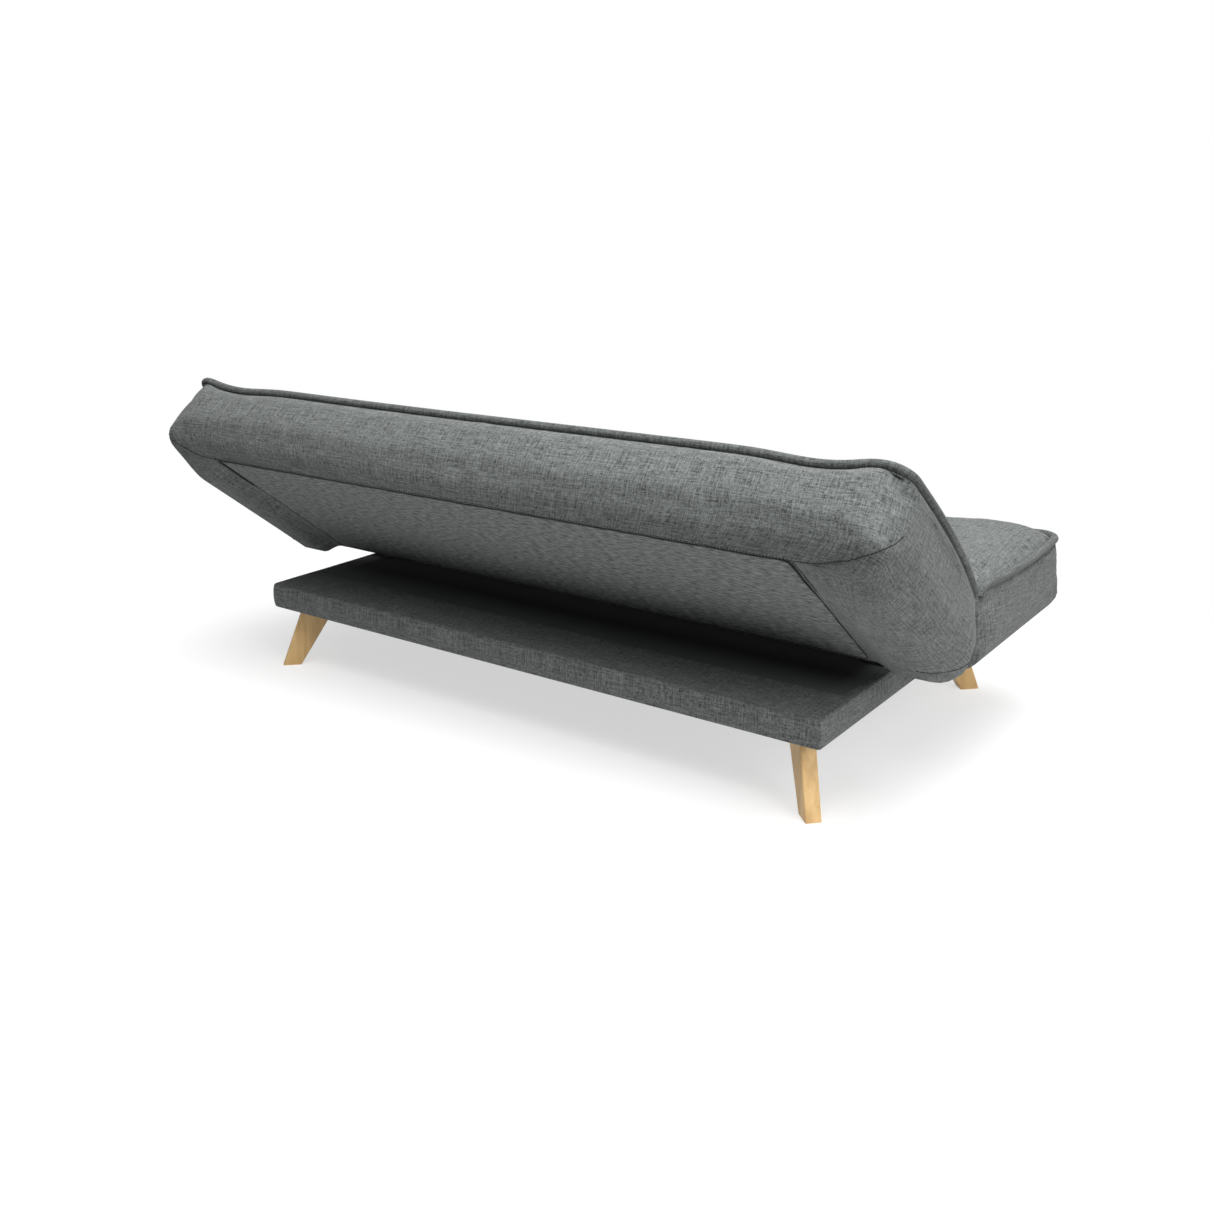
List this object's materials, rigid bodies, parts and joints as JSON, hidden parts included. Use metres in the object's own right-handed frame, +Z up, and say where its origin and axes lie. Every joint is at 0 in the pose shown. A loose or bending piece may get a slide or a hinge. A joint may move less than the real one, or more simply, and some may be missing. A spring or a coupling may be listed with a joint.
{
  "type": "futon sofa bed",
  "caption": "Armless upholstered sofa bed: piped seat and back cushions fold flat on a click-clack ratchet hinge over a low padded base with splayed wooden legs.",
  "frame": {"origin": "on the floor under the middle of the part's box", "axes": "+X along the sofa, -Y towards the sitter's feet, +Z up"},
  "size_m": [1.8196, 1.0362, 0.7081],
  "materials": {
    "linen": "matt slub weave",
    "piping_cloth": "matt slub weave",
    "panel_felt": "matt, fine and smooth",
    "dust_cloth": "matt non-woven",
    "foam": "open cell",
    "leg_wood": "satin lacquer",
    "rail_wood": "sawn",
    "plywood": "sanded",
    "frame_steel": "matt powder coat",
    "hinge_steel": "zinc plated",
    "fastener_steel": "zinc plated"
  },
  "bodies": {
    "base": {"base_cover": "linen", "base_dust_cover": "dust_cloth", "base_deck": "plywood", "base_front_rail": "rail_wood", "base_rear_rail": "rail_wood", "base_left_rail": "rail_wood", "base_right_rail": "rail_wood", "base_hinge_rail": "rail_wood", "base_stretchers": "rail_wood", "leg_blocks": "rail_wood", "leg_front_left": "leg_wood", "leg_front_right": "leg_wood", "leg_rear_left": "leg_wood", "leg_rear_right": "leg_wood", "leg_bolts": "fastener_steel", "hinge_bracket_left": "hinge_steel", "hinge_bracket_right": "hinge_steel", "bracket_screws": "fastener_steel", "pivot_bolts": "fastener_steel", "pivot_washers": "fastener_steel", "pivot_nuts": "fastener_steel"},
    "seat": {"seat_cover": "linen", "seat_piping": "piping_cloth", "seat_underside_panel": "panel_felt", "seat_foam": "foam", "seat_frame": "frame_steel", "seat_slats": "plywood", "seat_arm_left": "hinge_steel", "seat_arm_right": "hinge_steel", "seat_arm_bolts": "fastener_steel", "pawl_pins": "fastener_steel", "pawl_springs": "hinge_steel"},
    "back": {"back_cover": "linen", "back_piping": "piping_cloth", "back_rear_panel": "panel_felt", "back_foam": "foam", "back_frame": "frame_steel", "back_slats": "plywood", "back_arm_left": "hinge_steel", "back_arm_right": "hinge_steel", "back_arm_bolts": "fastener_steel", "ratchet_left": "hinge_steel", "ratchet_right": "hinge_steel"},
    "pawl_left": {"pawl_left": "hinge_steel"},
    "pawl_right": {"pawl_right": "hinge_steel"}
  },
  "joints": [
    {"name": "back_recline", "type": "hinge", "parent": "base", "child": "back", "pos_m": [0, 0.0146, 0.3703], "axis": [1, 0, 0], "range_deg": [-38, 27]},
    {"name": "seat_lift", "type": "hinge", "parent": "base", "child": "seat", "pos_m": [0, 0.0146, 0.3703], "axis": [-1, 0, 0], "range_deg": [0, 20]},
    {"name": "pawl_left_drop", "type": "hinge", "parent": "seat", "child": "pawl_left", "pos_m": [0, -0.03266, 0.33843], "axis": [1, 0, 0], "range_deg": [0, 15]},
    {"name": "pawl_right_drop", "type": "hinge", "parent": "seat", "child": "pawl_right", "pos_m": [0, -0.03266, 0.33843], "axis": [1, 0, 0], "range_deg": [0, 15]}
  ],
  "couplings": [
    {"joint": "pawl_right_drop", "follows": "pawl_left_drop", "ratio": 1}
  ]
}
